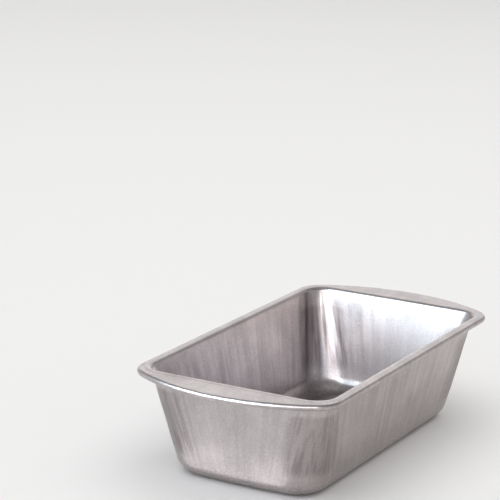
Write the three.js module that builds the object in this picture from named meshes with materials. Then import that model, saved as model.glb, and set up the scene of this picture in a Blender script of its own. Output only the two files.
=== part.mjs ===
// Loaf pan: one drawn metal sheet with a raised floor panel, flared end handles and an edge rolled
// around a wire. Millimetres, +Z up, X along the pan. The origin is the middle of the resting face.
import * as THREE from "three";

// Sheet and heights
const SHEET = 0.6; // thickness of the drawn sheet
const HEIGHT = 70.7; // resting face to the crest around the opening
const PANEL_RISE = 1.5; // how far the floor panel stands above the ring around it
const PLATE_DROP = 0.6; // how far the handles lie below the crest

// Plan outlines. Each end is one wide arc of endRadius that runs into the two corner arcs.
const PANEL = { halfLength: 88.7, halfWidth: 34.4, corner: 5, endRadius: 900 };
const FOOT = { halfLength: 105.9, halfWidth: 50.4, corner: 21.6, endRadius: 450 };
const OPENING = { halfLength: 116.6, halfWidth: 63.2, corner: 13.2, endRadius: 5000 };
const EDGE = { halfLength: 139.7, halfWidth: 70.2, corner: 19.3, endRadius: 118.9 };

// Widths across the profile
const PANEL_STEP = 1.8; // plan width of the step down from the panel
const PANEL_CAP = 3; // flat band inside the panel's edge, where the centre fan starts
const CREST = 3.1; // opening corner to the outer side of the crest
const PLATE_START = 4.6; // opening corner to the foot of the crest's outer side

// Bend radii, at the middle of the sheet
const STEP_BEND = 1.5;
const BASE_FILLET = 11.5;
const RIM_BEND = 3;
const CREST_BEND = 1.1;

// Rolled edge and the wire in it
const ROLL_RADIUS = 2.1; // outside of the bead
const ROLL_TURN = THREE.MathUtils.degToRad(298); // an open curl, short of the flange's underside
const WIRE_RADIUS = 1.1;
const WIRE_JOINT = 0.5; // gap between the wire's two ends

// Facets
const END_STEPS = 7; // half of an end arc
const CORNER_STEPS = 5;
const SIDE_STEPS = 2; // half of a straight side
const ROLL_STEPS = 11;
const WIRE_STEPS = 150;

/** The outline grown by a distance all round. Its stations move straight out. */
function grown({ halfLength, halfWidth, corner, endRadius }, by) {
  return {
    halfLength: halfLength + by,
    halfWidth: halfWidth + by,
    corner: corner + by,
    endRadius: endRadius + by,
  };
}

/** Arc centres of the outline's first quadrant, and the angle at which its two arcs meet. */
function arcs({ halfLength, halfWidth, corner, endRadius }) {
  const endX = halfLength - endRadius;
  const cornerY = halfWidth - corner;
  const cornerX = endX + Math.sqrt((endRadius - corner) ** 2 - cornerY ** 2);
  return { endX, cornerX, cornerY, meeting: Math.atan2(cornerY, cornerX - endX) };
}

/** Points of the outline's first quadrant, from the X axis to just short of the Y axis. */
function quadrant(outline) {
  const { endX, cornerX, cornerY, meeting } = arcs(outline);
  const points = [];
  for (let i = 0; i < END_STEPS; i++) {
    const angle = (meeting * i) / END_STEPS;
    points.push([endX + outline.endRadius * Math.cos(angle), outline.endRadius * Math.sin(angle)]);
  }
  for (let i = 0; i < CORNER_STEPS; i++) {
    const angle = meeting + ((Math.PI / 2 - meeting) * i) / CORNER_STEPS;
    points.push([cornerX + outline.corner * Math.cos(angle), cornerY + outline.corner * Math.sin(angle)]);
  }
  for (let i = 0; i < SIDE_STEPS; i++) {
    points.push([cornerX * (1 - i / SIDE_STEPS), outline.halfWidth]);
  }
  return points;
}

/** The whole outline as a ring of level points, counter-clockwise seen from above. */
function ring(outline, z) {
  const first = quadrant(outline);
  const toY = [...first, [0, outline.halfWidth]];
  const second = toY.slice(1).reverse().map(([x, y]) => [-x, y]);
  const half = [...first, ...second];
  const otherHalf = half.map(([x, y]) => [-x, -y]);
  return [...half, ...otherHalf].map(([x, y]) => new THREE.Vector3(x, y, z));
}

/** Arc of a given radius that rounds a corner between the points before and after it. */
function bend(before, corner, after, radius, steps) {
  const incoming = corner.clone().sub(before).normalize();
  const outgoing = after.clone().sub(corner).normalize();
  const turn = incoming.angleTo(outgoing);
  const reach = radius * Math.tan(turn / 2);
  const start = corner.clone().addScaledVector(incoming, -reach);
  const end = corner.clone().addScaledVector(outgoing, reach);
  const points = [];
  for (let i = 0; i <= steps; i++) {
    const t = i / steps;
    const middle = 2 * t * (1 - t) * Math.cos(turn / 2);
    const total = (1 - t) ** 2 + middle + t ** 2;
    const point = new THREE.Vector3();
    point.addScaledVector(start, (1 - t) ** 2 / total);
    point.addScaledVector(corner, middle / total);
    point.addScaledVector(end, t ** 2 / total);
    points.push(point);
  }
  return points;
}

/** Rings of the sheet's middle surface, from the floor panel out to the crest's outer foot. */
function dishRings() {
  const floorZ = SHEET / 2;
  const rimZ = HEIGHT - SHEET / 2;
  const plateZ = rimZ - PLATE_DROP;
  const path = [
    { ring: ring(grown(PANEL, -PANEL_CAP), floorZ + PANEL_RISE) },
    { ring: ring(PANEL, floorZ + PANEL_RISE), radius: STEP_BEND, steps: 1 },
    { ring: ring(grown(PANEL, PANEL_STEP), floorZ), radius: STEP_BEND, steps: 1 },
    { ring: ring(FOOT, floorZ), radius: BASE_FILLET, steps: 5 },
    { ring: ring(OPENING, rimZ), radius: RIM_BEND, steps: 4 },
    { ring: ring(grown(OPENING, CREST), rimZ), radius: CREST_BEND, steps: 1 },
    { ring: ring(grown(OPENING, PLATE_START), plateZ) },
  ];
  const sections = path[0].ring.map((start, station) => {
    const points = [start];
    for (let i = 1; i < path.length - 1; i++) {
      const [before, corner, after] = [path[i - 1], path[i], path[i + 1]].map((p) => p.ring[station]);
      points.push(...bend(before, corner, after, path[i].radius, path[i].steps));
    }
    points.push(path.at(-1).ring[station]);
    return points;
  });
  return sections[0].map((_, row) => sections.map((section) => section[row]));
}

/** Rings of the sheet's middle surface around the rolled edge. */
function rollRings() {
  const middleRadius = ROLL_RADIUS - SHEET / 2;
  const centreZ = HEIGHT - SHEET / 2 - PLATE_DROP - middleRadius;
  const rings = [];
  for (let i = 0; i <= ROLL_STEPS; i++) {
    const angle = (ROLL_TURN * i) / ROLL_STEPS;
    const outward = middleRadius * Math.sin(angle) - ROLL_RADIUS;
    rings.push(ring(grown(EDGE, outward), centreZ + middleRadius * Math.cos(angle)));
  }
  return rings;
}

/** The rings moved off the middle surface, along its normals, by a signed distance. */
function offsetRings(rings, distance) {
  const around = rings[0].length;
  return rings.map((points, row) => points.map((point, i) => {
    const inner = rings[Math.max(row - 1, 0)][i];
    const outer = rings[Math.min(row + 1, rings.length - 1)][i];
    const across = outer.clone().sub(inner);
    const along = points[(i + 1) % around].clone().sub(points[(i + around - 1) % around]);
    return point.clone().addScaledVector(across.cross(along).normalize(), distance);
  }));
}

/** Closed body through a list of rings, with a fan to the centre at its first and last ring. */
function loft(rings) {
  const around = rings[0].length;
  const centres = [rings[0], rings.at(-1)].map((points) => new THREE.Vector3(0, 0, points[0].z));
  const vertices = [...rings.flat(), ...centres];
  const [firstCentre, lastCentre] = [vertices.length - 2, vertices.length - 1];
  const lastRow = (rings.length - 1) * around;
  const index = [];
  for (let i = 0; i < around; i++) {
    const next = (i + 1) % around;
    index.push(firstCentre, i, next);
    index.push(lastCentre, lastRow + next, lastRow + i);
    for (let row = 0; row < lastRow; row += around) {
      index.push(row + i, row + around + i, row + around + next);
      index.push(row + i, row + around + next, row + next);
    }
  }
  const geometry = new THREE.BufferGeometry().setFromPoints(vertices);
  geometry.setIndex(index);
  geometry.computeVertexNormals();
  return geometry;
}

/** The drawn sheet: floor, walls, flange, handles and the open curl of the edge. */
function panBody() {
  const middle = [...dishRings(), ...rollRings()];
  const upper = offsetRings(middle, SHEET / 2);
  const lower = offsetRings(middle, -SHEET / 2);
  const material = new THREE.MeshStandardMaterial({ color: 0xb4adab, roughness: 0.36, metalness: 1 });
  const mesh = new THREE.Mesh(loft([...upper, ...lower.reverse()]), material);
  mesh.name = "pan_body";
  return mesh;
}

/** A flat path lifted to a height. */
class LevelCurve extends THREE.Curve {
  constructor(path, z) {
    super();
    this.path = path;
    this.z = z;
  }

  getPoint(t, target = new THREE.Vector3()) {
    const { x, y } = this.path.getPoint(t);
    return target.set(x, y, this.z);
  }
}

/** Once around an outline, from the middle of its +Y side, with a gap left between the ends. */
function openLoop(outline, gap) {
  const { endX, cornerX, cornerY, meeting } = arcs(outline);
  const { corner, endRadius, halfWidth } = outline;
  const path = new THREE.Path();
  path.moveTo(-gap / 2, halfWidth);
  path.lineTo(-cornerX, halfWidth);
  path.absarc(-cornerX, cornerY, corner, Math.PI / 2, Math.PI - meeting);
  path.absarc(-endX, 0, endRadius, Math.PI - meeting, Math.PI + meeting);
  path.absarc(-cornerX, -cornerY, corner, Math.PI + meeting, 1.5 * Math.PI);
  path.absarc(cornerX, -cornerY, corner, -Math.PI / 2, -meeting);
  path.absarc(endX, 0, endRadius, -meeting, meeting);
  path.absarc(cornerX, cornerY, corner, meeting, Math.PI / 2);
  path.lineTo(gap / 2, halfWidth);
  return path;
}

/** The wire inside the rolled edge, clear of the curl all round. */
function rimWire() {
  const centreZ = HEIGHT - PLATE_DROP - ROLL_RADIUS;
  const centreline = new LevelCurve(openLoop(grown(EDGE, -ROLL_RADIUS), WIRE_JOINT), centreZ);
  const section = new THREE.Shape().absarc(0, 0, WIRE_RADIUS, 0, 2 * Math.PI);
  const geometry = new THREE.ExtrudeGeometry(section, {
    extrudePath: centreline,
    steps: WIRE_STEPS,
    curveSegments: 4,
    bevelEnabled: false,
  });
  const material = new THREE.MeshStandardMaterial({ color: 0x8d8a88, roughness: 0.5, metalness: 1 });
  const mesh = new THREE.Mesh(geometry, material);
  mesh.name = "rim_wire";
  return mesh;
}

const loafPan = new THREE.Group();
loafPan.add(panBody(), rimWire());
export default loafPan;
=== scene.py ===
"""Loaf pan: one drawn sheet of aluminised steel with a wire in its rolled edge, on a studio floor."""

import math

import bmesh
import bpy
from mathutils import Euler, Matrix, Vector


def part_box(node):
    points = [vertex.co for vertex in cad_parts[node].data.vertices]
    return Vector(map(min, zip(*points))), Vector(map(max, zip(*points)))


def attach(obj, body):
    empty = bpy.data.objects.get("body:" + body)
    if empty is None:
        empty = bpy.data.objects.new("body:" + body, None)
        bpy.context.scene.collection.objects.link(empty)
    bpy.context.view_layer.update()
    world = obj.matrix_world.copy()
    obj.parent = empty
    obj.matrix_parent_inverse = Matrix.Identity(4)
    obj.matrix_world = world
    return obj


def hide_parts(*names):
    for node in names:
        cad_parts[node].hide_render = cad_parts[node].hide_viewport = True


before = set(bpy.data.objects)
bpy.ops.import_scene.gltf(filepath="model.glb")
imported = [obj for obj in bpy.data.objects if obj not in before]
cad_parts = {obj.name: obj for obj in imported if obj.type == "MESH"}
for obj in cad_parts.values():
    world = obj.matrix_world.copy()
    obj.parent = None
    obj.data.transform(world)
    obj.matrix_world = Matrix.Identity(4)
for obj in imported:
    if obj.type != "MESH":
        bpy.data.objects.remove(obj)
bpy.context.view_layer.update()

bl_info = {
    "name": "Loaf Pan",
    "version": (1, 0, 0),
    "blender": (4, 5, 0),
    "location": "View3D > Sidebar > Loaf Pan",
    "description": "Draws a loaf pan around its packed model, finishes it and sets it on a studio floor",
    "category": "Add Mesh",
}

MM = 0.001
_, PAN_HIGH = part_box("pan_body")

# Fineness of the sheet, in faces along each stretch of a quarter of its outline
END_FACES = 44
CORNER_FACES = 48
SIDE_FACES = 52
ROLL_FACES = 16
STATIONS = END_FACES + CORNER_FACES + SIDE_FACES
WALL_CUTS = 9
HANDLE_CUTS = 5

# Length along the edge that fills one unit of the press map, and how much of the height goes into it
MAP_UNIT = 10 * MM
MAP_STRETCH = 0.13
LINE_STRETCH = 0.03


# ---------------------------------------------------------------- sizes and colours

class PanSizes(bpy.types.PropertyGroup):
    """Sizes of the drawn sheet, along the middle of its thickness."""

    sheet: bpy.props.FloatProperty(
        name="Sheet", description="Thickness of the sheet",
        default=0.6 * MM, precision=4, unit="LENGTH")
    edge: bpy.props.FloatVectorProperty(
        name="Outer edge",
        description="Half length, half width, corner radius and end radius outside the bead",
        size=4, default=(PAN_HIGH.x, PAN_HIGH.y, 19.3 * MM, 118.9 * MM), precision=4, unit="LENGTH")
    opening: bpy.props.FloatVectorProperty(
        name="Opening",
        description="Half length, half width, corner radius and end radius where wall meets flange",
        size=4, default=(116.6 * MM, 63.2 * MM, 13.2 * MM, 5000 * MM), precision=4, unit="LENGTH")
    foot: bpy.props.FloatVectorProperty(
        name="Foot",
        description="Half length, half width, corner radius and end radius where wall meets floor",
        size=4, default=(105.9 * MM, 50.4 * MM, 21.6 * MM, 450 * MM), precision=4, unit="LENGTH")
    panel: bpy.props.FloatVectorProperty(
        name="Floor panel",
        description="Half length, half width, corner radius and end radius of the raised panel",
        size=4, default=(88.7 * MM, 34.4 * MM, 5 * MM, 900 * MM), precision=4, unit="LENGTH")
    panel_rise: bpy.props.FloatProperty(
        name="Panel rise", description="How far the panel stands above the ring around it",
        default=1.5 * MM, precision=4, unit="LENGTH")
    plate_drop: bpy.props.FloatProperty(
        name="Handle drop", description="How far the handles lie below the crest around the opening",
        default=0.6 * MM, precision=4, unit="LENGTH")
    base_fillet: bpy.props.FloatProperty(
        name="Base fillet", description="Radius between floor and wall",
        default=11.5 * MM, precision=4, unit="LENGTH")
    rim_bend: bpy.props.FloatProperty(
        name="Rim bend", description="Radius between wall and flange",
        default=3 * MM, precision=4, unit="LENGTH")
    roll: bpy.props.FloatProperty(
        name="Bead", description="Outside radius of the rolled edge",
        default=2.1 * MM, precision=4, unit="LENGTH")
    roll_turn: bpy.props.FloatProperty(
        name="Bead turn", description="How far the edge is rolled under",
        default=math.radians(298), subtype="ANGLE")


class PanFinish(bpy.types.PropertyGroup):
    """Colours of the metal, and how strongly the press marked it."""

    sheet_light: bpy.props.StringProperty(
        name="Sheet, light", description="Brighter tone of the sheet as an sRGB hex value", default="#C2BAB9")
    sheet_dark: bpy.props.StringProperty(
        name="Sheet, dark", description="Duller tone of the sheet as an sRGB hex value", default="#A29B9B")
    sheet_galled: bpy.props.StringProperty(
        name="Sheet, galled", description="Tone of the marks in the corners as an sRGB hex value",
        default="#766C6D")
    sheet_rubbed: bpy.props.StringProperty(
        name="Sheet, rubbed", description="Tone where handling polished it as an sRGB hex value",
        default="#C8C0C0")
    wire: bpy.props.StringProperty(
        name="Wire", description="Colour of the wire as an sRGB hex value", default="#8F8B88")
    wall_waves: bpy.props.FloatProperty(
        name="Wall waves", description="Height of the long ripples that drawing leaves on the walls",
        default=1.3 * MM, precision=5, unit="LENGTH")
    corner_creases: bpy.props.FloatProperty(
        name="Corner creases", description="Height of the short upright creases in the corners of the walls",
        default=0.5 * MM, precision=5, unit="LENGTH")
    corner_pleats: bpy.props.FloatProperty(
        name="Corner pleats", description="Height of the fine pleats across the flange at the corners",
        default=0.24 * MM, precision=5, unit="LENGTH")
    handle_waves: bpy.props.FloatProperty(
        name="Handle waves", description="Height of the broad ripples across the handles",
        default=0.4 * MM, precision=5, unit="LENGTH")


class PanStage(bpy.types.PropertyGroup):
    """Where the camera and the lights stand."""

    azimuth: bpy.props.FloatProperty(
        name="Azimuth", description="Direction of view, counter-clockwise from +Y",
        default=math.radians(-61.586), subtype="ANGLE")
    elevation: bpy.props.FloatProperty(
        name="Elevation", description="How far the view looks down",
        default=math.radians(14.385), subtype="ANGLE")
    roll: bpy.props.FloatProperty(
        name="Roll", description="Tilt of the camera about its own axis",
        default=math.radians(1.516), subtype="ANGLE")
    distance: bpy.props.FloatProperty(
        name="Distance", description="From the camera to the middle of the pan, along the view",
        default=1.4586, unit="LENGTH")
    aim: bpy.props.FloatVectorProperty(
        name="Aim", description="Point looked at, right of and above the middle of the pan",
        size=2, default=(-44.2 * MM, 91.7 * MM), precision=4, unit="LENGTH")
    lens: bpy.props.FloatProperty(
        name="Lens", description="Focal length in millimetres", default=160.33)
    floor: bpy.props.StringProperty(
        name="Floor", description="Colour of the floor as an sRGB hex value", default="#F4F3F2")


# ---------------------------------------------------------------- shared helpers

def linear(hex_colour):
    """Linear RGBA of an sRGB hex colour."""
    channels = [int(hex_colour[i:i + 2], 16) / 255 for i in (1, 3, 5)]
    return [c / 12.92 if c <= 0.04045 else ((c + 0.055) / 1.055) ** 2.4 for c in channels] + [1]


def add_node(tree, kind, settings=None, **inputs):
    """Add a node. Settings are its properties; inputs are values, or output sockets to link from.

    An input is given by its name, with _ for a space, or by its place, as _0 or _6.
    """
    node = tree.nodes.new(kind)
    for name, value in (settings or {}).items():
        setattr(node, name, value)
    for name, value in inputs.items():
        socket = node.inputs[int(name[1:])] if name[1:].isdigit() else node.inputs[name.replace("_", " ")]
        if isinstance(value, bpy.types.NodeSocket):
            tree.links.new(value, socket)
        else:
            socket.default_value = value
    return node


def new_material(name):
    """An empty node material, its tree and its output node."""
    material = bpy.data.materials.new(name)
    material.use_nodes = True
    material.node_tree.nodes.clear()
    output = material.node_tree.nodes.new("ShaderNodeOutputMaterial")
    return material, material.node_tree, output


def smooth_step(low, high, value):
    """0 below low, 1 above high, and an even S between them."""
    t = min(max((value - low) / (high - low), 0), 1)
    return t * t * (3 - 2 * t)


# ---------------------------------------------------------------- materials

def noise(tree, vector, size, detail=2.0, roughness=0.55):
    """Noise whose patches are about as wide as size."""
    return add_node(tree, "ShaderNodeTexNoise", Vector=vector, Scale=1 / size, Detail=detail,
                    Roughness=roughness).outputs["Fac"]


def blend(tree, factor, first, second):
    """Mix two numbers."""
    return add_node(tree, "ShaderNodeMix", {"data_type": "FLOAT"}, _0=factor, _2=first, _3=second).outputs[0]


def remap(tree, value, low, high, to_low=0.0, to_high=1.0):
    """Stretch a range of numbers to another one, with soft ends."""
    return add_node(tree, "ShaderNodeMapRange", {"interpolation_type": "SMOOTHSTEP"}, Value=value,
                    From_Min=low, From_Max=high, To_Min=to_low, To_Max=to_high).outputs["Result"]


def times(tree, first, second):
    """Multiply two numbers."""
    return add_node(tree, "ShaderNodeMath", {"operation": "MULTIPLY"}, _0=first, _1=second).outputs["Value"]


def scaled(tree, vector, factors):
    """Stretch a vector along each axis."""
    return add_node(tree, "ShaderNodeVectorMath", {"operation": "MULTIPLY"}, _0=vector, _1=factors).outputs[0]


def blend_colour(tree, factor, first, second):
    """Mix two colours."""
    return add_node(tree, "ShaderNodeMix", {"data_type": "RGBA"}, _0=factor, _6=first, _7=second).outputs[2]


def aluminised_steel(finish):
    """Aluminised steel, deep drawn and left uncoated.

    The hot-dip coating gives a satin, slightly warm grey with a fine spangle, which stays round on the
    floor and is pulled into streaks on the walls. The punch leaves upright draw lines, strongest round
    the corners. Handling has polished the bead and the crest of the flange a little brighter.
    """
    material, tree, output = new_material("aluminised_steel_drawn")
    place = add_node(tree, "ShaderNodeTexCoord").outputs["Object"]
    draw = add_node(tree, "ShaderNodeAttribute", {"attribute_name": "draw_lines"}).outputs["Vector"]
    marked = add_node(tree, "ShaderNodeAttribute", {"attribute_name": "press_marks"}).outputs["Fac"]
    rubbed = add_node(tree, "ShaderNodeAttribute", {"attribute_name": "rubbed_edge"}).outputs["Fac"]
    height = add_node(tree, "ShaderNodeSeparateXYZ", Vector=place).outputs["Z"]
    drawn = remap(tree, height, 3 * MM, 14 * MM)

    # Spangle: grains of the coating about 1 mm across, and a finer tooth between them
    spangle = noise(tree, place, 1.1 * MM, 3.0, 0.6)
    tooth = noise(tree, place, 0.25 * MM, 2.0)
    # Draw lines: streaks 5 mm and 1 mm wide, up the walls and across the flange
    broad = noise(tree, draw, 5 * MM)
    fine = noise(tree, draw, 1 * MM, 3.0, 0.65)
    # Haze: cloudy patches a few centimetres across where the coating is duller
    haze = noise(tree, place, 24 * MM, 3.0, 0.5)
    # Hairlines: thin scratches from stacking and washing, about 0.15 mm wide
    hair = add_node(tree, "ShaderNodeTexVoronoi", {"feature": "DISTANCE_TO_EDGE"}, Scale=1 / (7 * MM),
                    Vector=scaled(tree, place, (1.0, 0.22, 0.5))).outputs["Distance"]
    hairline = times(tree, remap(tree, hair, 0.0, 0.02, 1.0, 0.0),
                     remap(tree, noise(tree, place, 9 * MM), 0.52, 0.62))

    streaks = blend(tree, 0.35, broad, fine)
    lined = blend(tree, blend(tree, marked, 0.28, 1.0), 0.5, streaks)
    grain = blend(tree, blend(tree, drawn, 0.85, 0.3), lined, spangle)
    tone = blend(tree, 0.22, grain, haze)
    tone = blend(tree, times(tree, marked, 0.08), tone, 0.35)
    colour = blend_colour(tree, remap(tree, tone, 0.4, 0.6), linear(finish.sheet_dark),
                          linear(finish.sheet_light))
    # Galling: short upright marks in the corners, where the sheet slid hardest against the die
    tall = scaled(tree, draw, (1.0, 1.0, 4.0))
    galled = times(tree, remap(tree, marked, 0.6, 1.0), remap(tree, noise(tree, tall, 2 * MM), 0.48, 0.68))
    scuffed = blend(tree, galled, times(tree, remap(tree, marked, 0.6, 1.0), 0.34), 0.6)
    colour = blend_colour(tree, scuffed, colour, linear(finish.sheet_galled))
    worn = times(tree, rubbed, remap(tree, noise(tree, draw, 3 * MM, 3.0), 0.4, 0.7))
    colour = blend_colour(tree, times(tree, worn, 0.3), colour, linear(finish.sheet_rubbed))
    dull = remap(tree, tone, 0.35, 0.65, 0.38, 0.29)
    dull = blend(tree, worn, dull, 0.28)
    dull = blend(tree, times(tree, hairline, 0.5), dull, 0.5)

    lines = add_node(tree, "ShaderNodeBump", Strength=blend(tree, marked, 0.12, 0.4),
                     Distance=0.06 * MM, Height=streaks)
    grains = add_node(tree, "ShaderNodeBump", Strength=blend(tree, drawn, 0.9, 0.2), Distance=0.06 * MM,
                      Height=blend(tree, 0.3, spangle, tooth), Normal=lines.outputs["Normal"])
    scratches = add_node(tree, "ShaderNodeBump", {"invert": True}, Strength=0.25, Distance=0.01 * MM,
                         Height=hairline, Normal=grains.outputs["Normal"])
    shader = add_node(tree, "ShaderNodeBsdfPrincipled", Base_Color=colour, Metallic=1.0,
                      Roughness=dull, Normal=scratches.outputs["Normal"])
    tree.links.new(shader.outputs["BSDF"], output.inputs["Surface"])
    return material


def drawn_wire(finish):
    """Bright steel wire, cold drawn: a darker plain grey with scratches along its length."""
    material, tree, output = new_material("steel_wire_cold_drawn")
    place = add_node(tree, "ShaderNodeTexCoord").outputs["Object"]
    grain = noise(tree, place, 0.5 * MM, 2.0, 0.5)
    roughness = add_node(tree, "ShaderNodeMapRange", Value=grain, To_Min=0.35, To_Max=0.55).outputs["Result"]
    bump = add_node(tree, "ShaderNodeBump", Strength=0.2, Distance=0.03 * MM, Height=grain)
    shader = add_node(tree, "ShaderNodeBsdfPrincipled", Base_Color=linear(finish.wire), Metallic=1.0,
                      Roughness=roughness, Normal=bump.outputs["Normal"])
    tree.links.new(shader.outputs["BSDF"], output.inputs["Surface"])
    return material


def studio_paper(colour):
    """Seamless background paper: matt, pale and plain."""
    material, tree, output = new_material("background_paper_matt")
    shader = add_node(tree, "ShaderNodeBsdfPrincipled", Base_Color=linear(colour), Roughness=0.8)
    tree.links.new(shader.outputs["BSDF"], output.inputs["Surface"])
    return material


# ---------------------------------------------------------------- outline of the pan

def grown(outline, by):
    """The outline grown by a distance all round."""
    return [size + by for size in outline]


def arcs(outline):
    """Centre of the end arc, centre of the corner arc, and the angle at which the two meet."""
    half_length, half_width, corner, end_radius = outline
    end_x = half_length - end_radius
    corner_y = half_width - corner
    corner_x = end_x + math.sqrt((end_radius - corner) ** 2 - corner_y ** 2)
    return end_x, corner_x, corner_y, math.atan2(corner_y, corner_x - end_x)


def draw_quarter(outline, z):
    """Draw a quarter of an outline as a chain of edges, from the X axis round to the Y axis."""
    end_x, corner_x, corner_y, meeting = arcs(outline)
    anticlockwise = (0, 0, -1)
    bpy.ops.mesh.select_mode(type="VERT")
    bpy.ops.mesh.select_all(action="DESELECT")
    bpy.ops.mesh.primitive_plane_add(size=MM, location=(outline[0], 0, z))
    bpy.ops.mesh.merge(type="CENTER")
    bpy.ops.mesh.spin(steps=END_FACES, angle=meeting, center=(end_x, 0, z), axis=anticlockwise)
    bpy.ops.mesh.spin(steps=CORNER_FACES, angle=math.pi / 2 - meeting, center=(corner_x, corner_y, z),
                      axis=anticlockwise)
    for _ in range(SIDE_FACES):
        step = (-corner_x / SIDE_FACES, 0, 0)
        bpy.ops.mesh.extrude_region_move(TRANSFORM_OT_translate={"value": step})


def around_edge(outline, station):
    """Distance along a quarter of the outline to a station."""
    _, corner_x, _, meeting = arcs(outline)
    end = outline[3] * meeting
    corner = outline[2] * (math.pi / 2 - meeting)
    faces = station - 1
    if faces <= END_FACES:
        return end * faces / END_FACES
    if faces <= END_FACES + CORNER_FACES:
        return end + corner * (faces - END_FACES) / CORNER_FACES
    return end + corner + corner_x * (faces - END_FACES - CORNER_FACES) / SIDE_FACES


# ---------------------------------------------------------------- drawing the sheet

def bend(name, outline, centre, radius, start, turn, faces):
    """Rings along an arc of the profile: centre is out from the outline and up, 0 points straight up."""
    rings = []
    for face in range(faces + 1):
        angle = start + turn * face / faces
        out = centre[0] + radius * math.sin(angle)
        rings.append((f"{name}_{face}", grown(outline, out), centre[1] + radius * math.cos(angle)))
    return rings


def profile_rings(sizes):
    """Rings of the sheet's profile from the floor to the end of the curl: name, outline and height."""
    half_sheet = sizes.sheet / 2
    rim_z = PAN_HIGH.z - half_sheet
    plate_z = rim_z - sizes.plate_drop
    # Seen from above: the step down from the panel, and the flat band inside the panel's edge
    step, cap = 1.8 * MM, 3 * MM
    # Seen from above: opening to the crest's outer side, and its slope; then the bend at both ends of that
    crest, slope, crest_bend = 3.1 * MM, 1.5 * MM, 1.1 * MM
    fall = math.atan2(sizes.plate_drop, slope)
    leg = crest_bend * math.tan(fall / 2)
    bead = sizes.roll - half_sheet
    return [
        ("panel_cap", grown(sizes.panel, -cap), half_sheet + sizes.panel_rise),
        ("panel_edge", grown(sizes.panel, 0), half_sheet + sizes.panel_rise),
        ("panel_foot", grown(sizes.panel, step), half_sheet),
        ("foot", grown(sizes.foot, 0), half_sheet),
        ("opening", grown(sizes.opening, 0), rim_z),
        *bend("crest", sizes.opening, (crest - leg, rim_z - crest_bend), crest_bend, 0, fall, 2),
        *bend("plate", sizes.opening, (crest + slope + leg, plate_z + crest_bend), crest_bend,
              math.pi + fall, -fall, 2),
        *bend("roll", sizes.edge, (-sizes.roll, plate_z - bead), bead, 0, sizes.roll_turn, ROLL_FACES),
    ]


def place_of(vertex):
    """Where a point is, to the nearest micrometre."""
    return tuple(round(c * 1e6) for c in vertex.co)


def select_edges(sheet, wanted):
    """Select the edges for which wanted(first point, second point) is true, and nothing else."""
    bpy.ops.mesh.select_mode(type="EDGE")
    bpy.ops.mesh.select_all(action="DESELECT")
    mesh = bmesh.from_edit_mesh(sheet.data)
    for edge in mesh.edges:
        edge.select_set(wanted(*edge.verts))
    bmesh.update_edit_mesh(sheet.data)


def select_rings(sheet, *rings):
    """Select the edges that run along the given rings."""
    select_edges(sheet, lambda a, b: any(place_of(a) in ring and place_of(b) in ring for ring in rings))


def ring_places(sheet):
    """Places of the points of the chain just drawn."""
    mesh = bmesh.from_edit_mesh(sheet.data)
    drawn = mesh.verts.layers.int["drawn"]
    chain = [vertex for vertex in mesh.verts if not vertex[drawn]]
    if len(chain) != STATIONS + 1:
        raise RuntimeError(f"a ring has {len(chain)} points instead of {STATIONS + 1}")
    for vertex in chain:
        vertex[drawn] = 1
    return {place_of(vertex) for vertex in chain}


def number_stations(sheet, ring):
    """Number the points from the X axis round to the Y axis, ring by ring from the given one."""
    mesh = bmesh.from_edit_mesh(sheet.data)
    stations = mesh.verts.layers.float["station"]
    current = [vertex for vertex in mesh.verts if place_of(vertex) in ring]
    current.sort(key=lambda vertex: math.atan2(vertex.co.y, vertex.co.x))
    for station, vertex in enumerate(current, start=1):
        vertex[stations] = station
    done = set(current)
    while current:
        pairs = [(edge.other_vert(vertex), vertex) for vertex in current for edge in vertex.link_edges]
        current = []
        for vertex, neighbour in pairs:
            if vertex not in done:
                vertex[stations] = neighbour[stations]
                done.add(vertex)
                current.append(vertex)
    bmesh.update_edit_mesh(sheet.data)


def fill_panel(sheet, ring, z):
    """Close the middle of the floor panel with shrinking copies of its innermost ring."""
    select_rings(sheet, ring)
    for factor in (0.85, 0.8, 0.65, 0.0):
        bpy.ops.mesh.extrude_region_move()
        bpy.ops.transform.resize(value=(factor, factor, 1), center_override=(0, 0, z))
    bpy.ops.mesh.merge(type="CENTER")


def divide_strips(sheet, plate_z):
    """Divide the long stretches up the walls and across the handles, so that they can ripple."""
    def up_wall(first, second):
        return abs(first.co.z - second.co.z) > plate_z / 2

    def across_handle(first, second):
        level = all(abs(vertex.co.z - plate_z) < 0.01 * MM for vertex in (first, second))
        level = level and (first.co - second.co).length > MM
        stations = bmesh.from_edit_mesh(sheet.data).verts.layers.float["station"]
        return level and first[stations] == second[stations]

    select_edges(sheet, up_wall)
    bpy.ops.mesh.subdivide(number_cuts=WALL_CUTS)
    select_edges(sheet, across_handle)
    bpy.ops.mesh.subdivide(number_cuts=HANDLE_CUTS)


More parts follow.
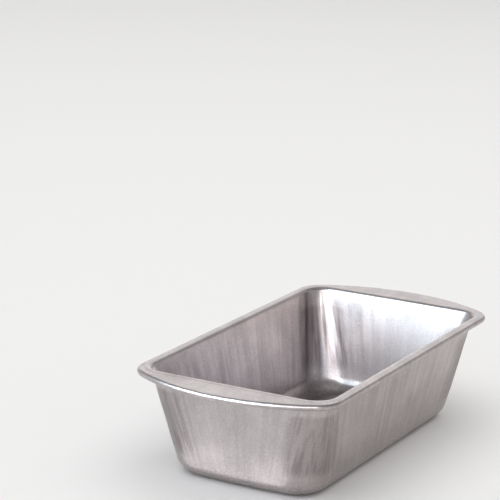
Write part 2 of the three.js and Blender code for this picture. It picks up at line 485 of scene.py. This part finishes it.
def shape_quarter(sheet, sizes):
    """Draw, skin and round a quarter of the sheet."""
    rings = {}
    for name, outline, z in profile_rings(sizes):
        draw_quarter(outline, z)
        rings[name] = ring_places(sheet)
        if len(rings) > 1:
            select_rings(sheet, *list(rings.values())[-2:])
            bpy.ops.mesh.bridge_edge_loops()

    # A bend's width on each leg is its radius times the tangent of half its turn
    lean = math.atan2(sizes.opening[1] - sizes.foot[1], PAN_HIGH.z)
    half_turn = math.tan(math.pi / 4 - lean / 2)
    bends = {
        "panel_edge": (0.6 * MM, 3),
        "panel_foot": (0.6 * MM, 3),
        "foot": (sizes.base_fillet * half_turn, 10),
        "opening": (sizes.rim_bend * half_turn, 7),
    }
    for name, (width, faces) in bends.items():
        select_rings(sheet, rings[name])
        bpy.ops.mesh.bevel(offset=width, offset_type="OFFSET", segments=faces, affect="EDGES")
    number_stations(sheet, rings[f"roll_{ROLL_FACES}"])
    divide_strips(sheet, PAN_HIGH.z - sizes.sheet / 2 - sizes.plate_drop)
    fill_panel(sheet, rings["panel_cap"], sizes.sheet / 2 + sizes.panel_rise)


def mirror_quarter(sheet):
    """Complete the sheet from its quarter, with the food side as its outer side."""
    bpy.ops.object.modifier_add(type="MIRROR")
    mirror = sheet.modifiers[-1]
    mirror.use_axis = (True, True, False)
    mirror.merge_threshold = 0.01 * MM
    bpy.ops.object.modifier_apply(modifier=mirror.name)
    bpy.ops.object.mode_set(mode="EDIT")
    bpy.ops.mesh.select_all(action="SELECT")
    bpy.ops.mesh.normals_make_consistent(inside=False)
    mesh = bmesh.from_edit_mesh(sheet.data)
    middle = min(mesh.faces, key=lambda f: f.calc_center_median().xy.length)
    if middle.normal.z < 0:
        bpy.ops.mesh.flip_normals()
    bpy.ops.object.mode_set(mode="OBJECT")


def distance_round(point, quarter_distance, quarter_length):
    """Distance round the whole edge from the middle of the +X end, from its distance in one quarter."""
    if point.y >= 0:
        return quarter_distance if point.x >= 0 else 2 * quarter_length - quarter_distance
    return 2 * quarter_length + quarter_distance if point.x < 0 else 4 * quarter_length - quarter_distance


def map_draw_lines(sheet, sizes):
    """Record how far round the edge each point lies, as a ring of lines that has no start or end.

    The draw_lines attribute bends that distance into a circle and adds a little of the height, so
    a pattern on it runs in long lines up the walls and across the flange.
    """
    mesh = sheet.data
    edge = list(sizes.edge)
    quarter = around_edge(edge, STATIONS + 1)
    radius = 4 * quarter / math.tau
    stations = mesh.attributes["station"].data
    rounds = [around_edge(edge, stations[v.index].value) for v in mesh.vertices]
    lines = mesh.attributes.new("draw_lines", "FLOAT_VECTOR", "POINT")
    for vertex in mesh.vertices:
        angle = distance_round(vertex.co, rounds[vertex.index], quarter) / radius
        stretch = LINE_STRETCH * vertex.co.z
        lines.data[vertex.index].vector = (radius * math.cos(angle), radius * math.sin(angle), stretch)
    uv = mesh.uv_layers.new(name="press_map")
    for face in mesh.polygons:
        for loop in face.loop_indices:
            vertex = mesh.loops[loop].vertex_index
            distance = distance_round(face.center, rounds[vertex], quarter)
            uv.data[loop].uv = (distance / MAP_UNIT, MAP_STRETCH * mesh.vertices[vertex].co.z / MAP_UNIT)
    return rounds


def press_weights(sheet, sizes, rounds):
    """Vertex groups and attributes that say where the press and handling left each kind of mark.

    The attributes are added last, because adding a vertex group moves the ones that are there.
    """
    corner = around_edge(list(sizes.edge), 1 + END_FACES + CORNER_FACES / 2)
    plate_z = PAN_HIGH.z - sizes.sheet / 2 - sizes.plate_drop
    groups = {name: sheet.vertex_groups.new(name=name) for name in ("walls", "creases", "pleats", "handles")}
    marks, rubbed = [], []
    for vertex in sheet.data.vertices:
        x, y, z = vertex.co
        from_corner = abs(rounds[vertex.index] - corner)
        seam = smooth_step(0, 12 * MM, abs(y)) if x > 0 else 1
        side = smooth_step(sizes.foot[1] - 4 * MM, sizes.foot[1], abs(y))
        below_rim = 1 - smooth_step(plate_z - 9 * MM, plate_z - 4 * MM, z)
        near_corner = 1 - smooth_step(9 * MM, 42 * MM, from_corner)
        at_corner = 1 - smooth_step(9 * MM, 22 * MM, from_corner)
        flange = smooth_step(plate_z - 1.2 * MM, plate_z - 0.4 * MM, z)
        flange *= 1 - smooth_step(plate_z + 0.1 * MM, plate_z + 0.5 * MM, z)
        reach = smooth_step(sizes.opening[0] + 4 * MM, sizes.opening[0] + 9 * MM, abs(x))
        weights = {
            "walls": smooth_step(8 * MM, 22 * MM, z) * below_rim * seam * (0.3 + 0.7 * near_corner * side),
            "creases": smooth_step(12 * MM, 24 * MM, z) * below_rim * at_corner,
            "pleats": flange * (1 - smooth_step(8 * MM, 17 * MM, from_corner)),
            "handles": flange * reach * seam,
        }
        for name, weight in weights.items():
            groups[name].add([vertex.index], weight, "REPLACE")
        below_bead = 1 - smooth_step(plate_z - 13 * MM, plate_z - 4.5 * MM, z)
        drawn = smooth_step(6 * MM, 20 * MM, z) * max(near_corner, 0.45 * side)
        marks.append(drawn * below_bead)
        bead = smooth_step(sizes.edge[0] - 2.4 * MM, sizes.edge[0] - 1.2 * MM, abs(x))
        bead = max(bead, smooth_step(sizes.edge[1] - 2 * MM, sizes.edge[1] - 1 * MM, abs(y)))
        rubbed.append(max(bead, smooth_step(plate_z + 0.35 * MM, plate_z + 0.6 * MM, z)))
    for name, values in (("press_marks", marks), ("rubbed_edge", rubbed)):
        sheet.data.attributes.new(name, "FLOAT", "POINT").data.foreach_set("value", values)


def ripple(sheet, group, texture, height, direction):
    """Raise and sink the sheet by a texture on the press map, within one vertex group."""
    bpy.ops.object.modifier_add(type="DISPLACE")
    displace = sheet.modifiers[-1]
    displace.texture = texture
    displace.texture_coords = "UV"
    displace.uv_layer = "press_map"
    displace.vertex_group = group
    displace.direction = direction
    displace.strength = height
    displace.mid_level = 0.5
    bpy.ops.object.modifier_apply(modifier=displace.name)


def cloud(name, size):
    """A soft noise whose patches are about as wide as size, in metres along the press map."""
    texture = bpy.data.textures.new(name, "CLOUDS")
    texture.noise_scale = 2 * size / MAP_UNIT
    texture.noise_depth = 1
    return texture


class LOAFPAN_OT_sheet(bpy.types.Operator):
    """Draw the sheet: floor, walls, flange, handles and the rolled edge, with the marks of the press"""

    bl_idname = "loafpan.sheet"
    bl_label = "Draw the Sheet"

    def execute(self, context):
        sizes = context.scene.pan_sizes
        finish = context.scene.pan_finish
        bpy.ops.object.select_all(action="DESELECT")
        bpy.ops.mesh.primitive_plane_add(size=2 * sizes.panel[1], location=(0, 0, 0))
        sheet = context.object
        sheet.name = sheet.data.name = "pan_sheet"
        # The plane is cleared, because every ring is spun from a point of its own
        bpy.ops.object.mode_set(mode="EDIT")
        bpy.ops.mesh.select_all(action="SELECT")
        bpy.ops.mesh.delete(type="VERT")
        points = bmesh.from_edit_mesh(sheet.data).verts
        points.layers.int.new("drawn")
        points.layers.float.new("station")
        shape_quarter(sheet, sizes)
        bpy.ops.object.mode_set(mode="OBJECT")
        mirror_quarter(sheet)

        rounds = map_draw_lines(sheet, sizes)
        press_weights(sheet, sizes, rounds)
        ripple(sheet, "walls", cloud("wall_wave", 7 * MM), finish.wall_waves, "NORMAL")
        ripple(sheet, "creases", cloud("corner_crease", 2.6 * MM), finish.corner_creases, "NORMAL")
        ripple(sheet, "pleats", cloud("corner_pleat", 0.9 * MM), finish.corner_pleats, "Z")
        ripple(sheet, "handles", cloud("handle_wave", 4 * MM), finish.handle_waves, "Z")

        bpy.ops.object.modifier_add(type="SOLIDIFY")
        wall = sheet.modifiers[-1]
        wall.thickness = sizes.sheet
        wall.offset = 0
        bpy.ops.object.modifier_apply(modifier=wall.name)
        bpy.ops.object.shade_smooth_by_angle(angle=math.radians(50))

        sheet.data.materials.append(aluminised_steel(finish))
        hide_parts("pan_body")
        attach(sheet, "root")
        return {"FINISHED"}


class LOAFPAN_OT_wire(bpy.types.Operator):
    """Give the wire inside the rolled edge its finish"""

    bl_idname = "loafpan.wire"
    bl_label = "Finish the Wire"

    def execute(self, context):
        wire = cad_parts["rim_wire"]
        wire.data.materials.clear()
        wire.data.materials.append(drawn_wire(context.scene.pan_finish))
        return {"FINISHED"}


# ---------------------------------------------------------------- stage

def softbox(name, azimuth, elevation, distance, size, power, colour="#FFFFFF", on_metal=True):
    """A soft area light that faces the pan, in degrees, metres and watts, for the metal or for the floor."""
    light = bpy.data.lights.new(name, "AREA")
    light.shape = "RECTANGLE"
    light.size, light.size_y = size
    light.energy = power
    light.color = linear(colour)[:3]
    box = bpy.data.objects.new(name, light)
    turn = Euler((math.pi / 2 - math.radians(elevation), 0, math.radians(azimuth)))
    box.rotation_euler = turn
    box.location = turn.to_matrix() @ Vector((0, 0, distance)) + Vector((0, 0, PAN_HIGH.z / 2))
    box.visible_camera = False
    box.visible_glossy = on_metal
    box.visible_diffuse = not on_metal
    bpy.context.scene.collection.objects.link(box)


def bounce_card(name, location, size, power):
    """A glowing card that lies on the floor and shows only in the metal above it, in metres and watts."""
    light = bpy.data.lights.new(name, "AREA")
    light.shape = "RECTANGLE"
    light.size, light.size_y = size
    light.energy = power
    card = bpy.data.objects.new(name, light)
    card.location = location
    card.rotation_euler = (math.pi, 0, 0)
    card.visible_camera = False
    card.visible_diffuse = False
    bpy.context.scene.collection.objects.link(card)


def studio_air():
    """Even room light: pale at the horizon, darker above it and paler again straight overhead."""
    world = bpy.data.worlds.new("studio_air")
    world.use_nodes = True
    tree = world.node_tree
    tree.nodes.clear()
    direction = add_node(tree, "ShaderNodeTexCoord").outputs["Generated"]
    up = add_node(tree, "ShaderNodeSeparateXYZ", Vector=direction).outputs["Z"]
    ramp = add_node(tree, "ShaderNodeMapRange", Value=up, From_Min=0.0, From_Max=0.8,
                    To_Min=0.95, To_Max=0.3).outputs["Result"]
    overhead = remap(tree, up, 0.82, 0.98, 0.0, 0.28)
    ramp = add_node(tree, "ShaderNodeMath", {"operation": "ADD"}, _0=ramp, _1=overhead).outputs["Value"]
    air = add_node(tree, "ShaderNodeBackground", Strength=ramp)
    output = add_node(tree, "ShaderNodeOutputWorld", Surface=air.outputs["Background"])
    output.is_active_output = True
    bpy.context.scene.world = world


class LOAFPAN_OT_stage(bpy.types.Operator):
    """Set the floor, the lights and the camera"""

    bl_idname = "loafpan.stage"
    bl_label = "Set the Stage"

    def execute(self, context):
        stage = context.scene.pan_stage
        bpy.ops.object.select_all(action="DESELECT")
        bpy.ops.mesh.primitive_plane_add(size=30, location=(0, 0, 0))
        floor = context.object
        floor.name = "studio_floor"
        floor.data.materials.append(studio_paper(stage.floor))

        softbox("left_softbox", -120, 24, 1.9, (1.8, 1.4), 58, "#E0F3FF")
        softbox("core_softbox", -86, 15, 1.8, (0.28, 0.7), 12, "#F0F6FF")
        softbox("front_softbox", -62, 20, 1.8, (0.7, 0.6), 7.5)
        softbox("back_softbox", 118, 17, 2.4, (3.0, 1.1), 6.5)
        softbox("high_back_softbox", 112, 48, 2.4, (2.2, 1.4), 11)
        softbox("ceiling_softbox", 0, 89, 3.0, (5.0, 5.0), 94, on_metal=False)
        bounce_card("near_end_card", (-PAN_HIGH.x + 13 * MM, 16 * MM, MM), (34 * MM, 90 * MM), 0.0055)
        studio_air()

        camera = bpy.data.cameras.new("camera")
        camera.lens = stage.lens
        camera.dof.use_dof = False
        viewer = bpy.data.objects.new("camera", camera)
        turn = Matrix.Rotation(stage.azimuth, 3, "Z") @ Matrix.Rotation(math.pi / 2 - stage.elevation, 3, "X")
        turn = turn @ Matrix.Rotation(stage.roll, 3, "Z")
        middle = Vector((0, 0, PAN_HIGH.z / 2))
        viewer.location = middle + turn @ Vector((stage.aim[0], stage.aim[1], stage.distance))
        viewer.rotation_euler = turn.to_euler()
        context.scene.collection.objects.link(viewer)
        context.scene.camera = viewer
        context.scene.view_settings.view_transform = "Standard"
        return {"FINISHED"}


class LOAFPAN_PT_panel(bpy.types.Panel):
    """Buttons for each piece of the loaf pan and for its stage"""

    bl_idname = "LOAFPAN_PT_panel"
    bl_label = "Loaf Pan"
    bl_space_type = "VIEW_3D"
    bl_region_type = "UI"
    bl_category = "Loaf Pan"

    def draw(self, context):
        for step in STEPS:
            self.layout.operator(step.bl_idname)


GROUPS = {"pan_sizes": PanSizes, "pan_finish": PanFinish, "pan_stage": PanStage}
STEPS = (LOAFPAN_OT_sheet, LOAFPAN_OT_wire, LOAFPAN_OT_stage)


def register():
    """Add the property groups, operators and panel."""
    for cls in (*GROUPS.values(), *STEPS, LOAFPAN_PT_panel):
        bpy.utils.register_class(cls)
    for name, group in GROUPS.items():
        setattr(bpy.types.Scene, name, bpy.props.PointerProperty(type=group))


def unregister():
    """Remove them again."""
    for name in GROUPS:
        delattr(bpy.types.Scene, name)
    for cls in reversed((*GROUPS.values(), *STEPS, LOAFPAN_PT_panel)):
        bpy.utils.unregister_class(cls)


def main():
    """Make every piece and the stage."""
    register()
    for step in STEPS:
        operator = getattr(bpy.ops.loafpan, step.bl_idname.split(".")[1])
        operator()


if __name__ == "__main__":
    main()
